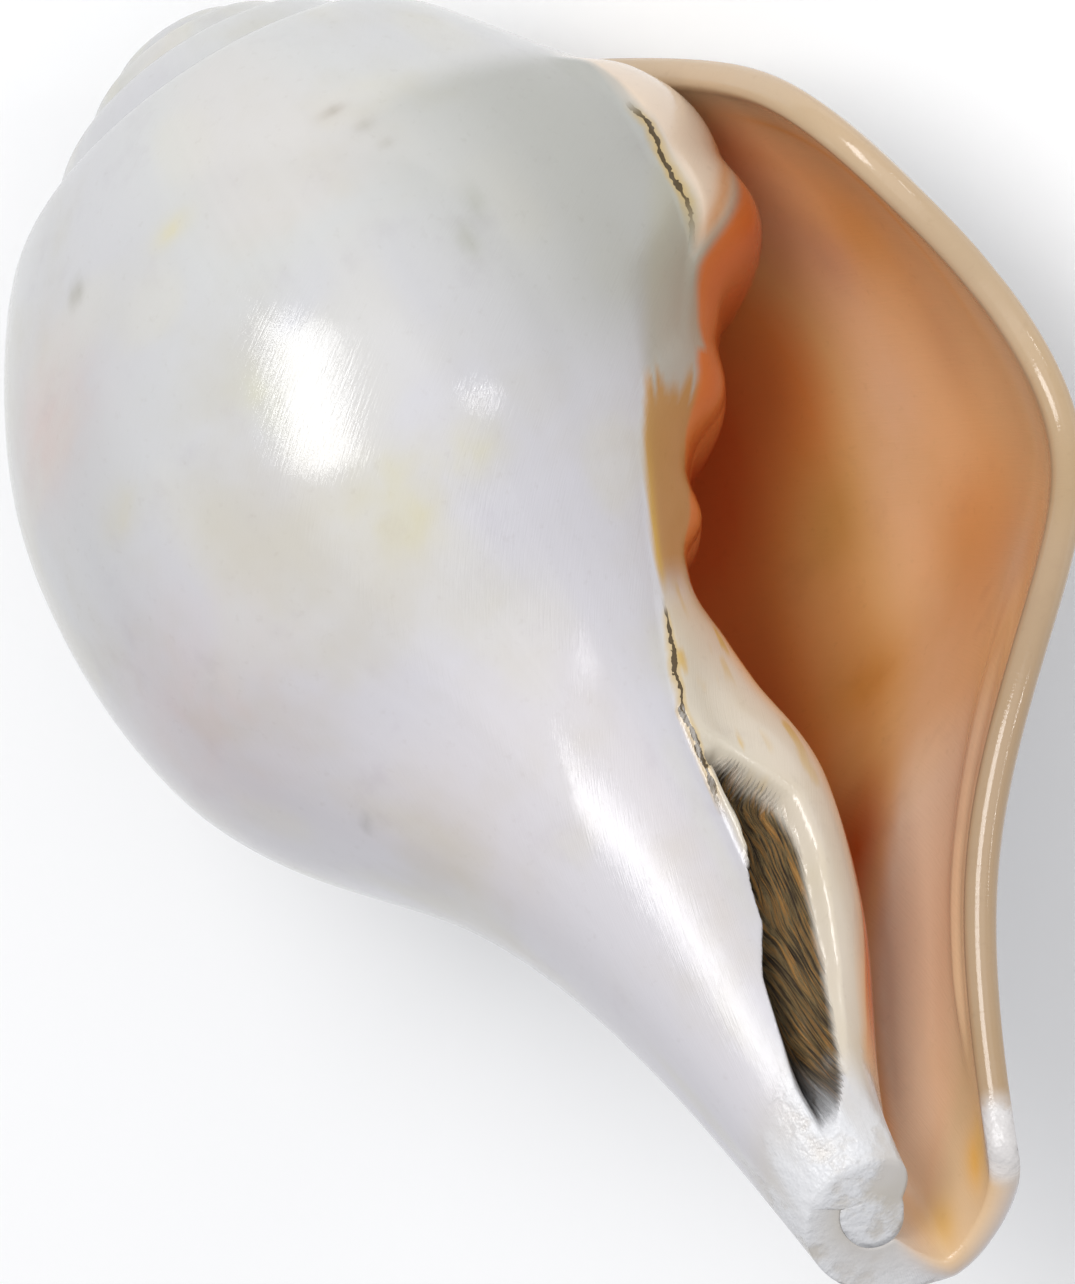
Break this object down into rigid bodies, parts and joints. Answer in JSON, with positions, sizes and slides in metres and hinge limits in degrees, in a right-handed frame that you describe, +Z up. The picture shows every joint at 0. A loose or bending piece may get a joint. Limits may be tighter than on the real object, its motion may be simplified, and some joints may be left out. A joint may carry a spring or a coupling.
{
  "type": "conch shell",
  "caption": "Polished white spiral seashell lying on its back, with a round body, a low spire, a wide orange mouth, a folded pillar and a long open canal.",
  "frame": {"origin": "on the ground, under the middle of the resting shell's box", "axes": "+Z up, with the shell lying on its back; +Y along the coiling axis towards the spire, so the canal points to -Y and a little up; the mouth faces up and towards +X"},
  "size_m": [0.096, 0.1396, 0.0894],
  "materials": {
    "shell": "polished"
  },
  "bodies": {
    "root": {"conch_shell": "shell"}
  },
  "joints": []
}
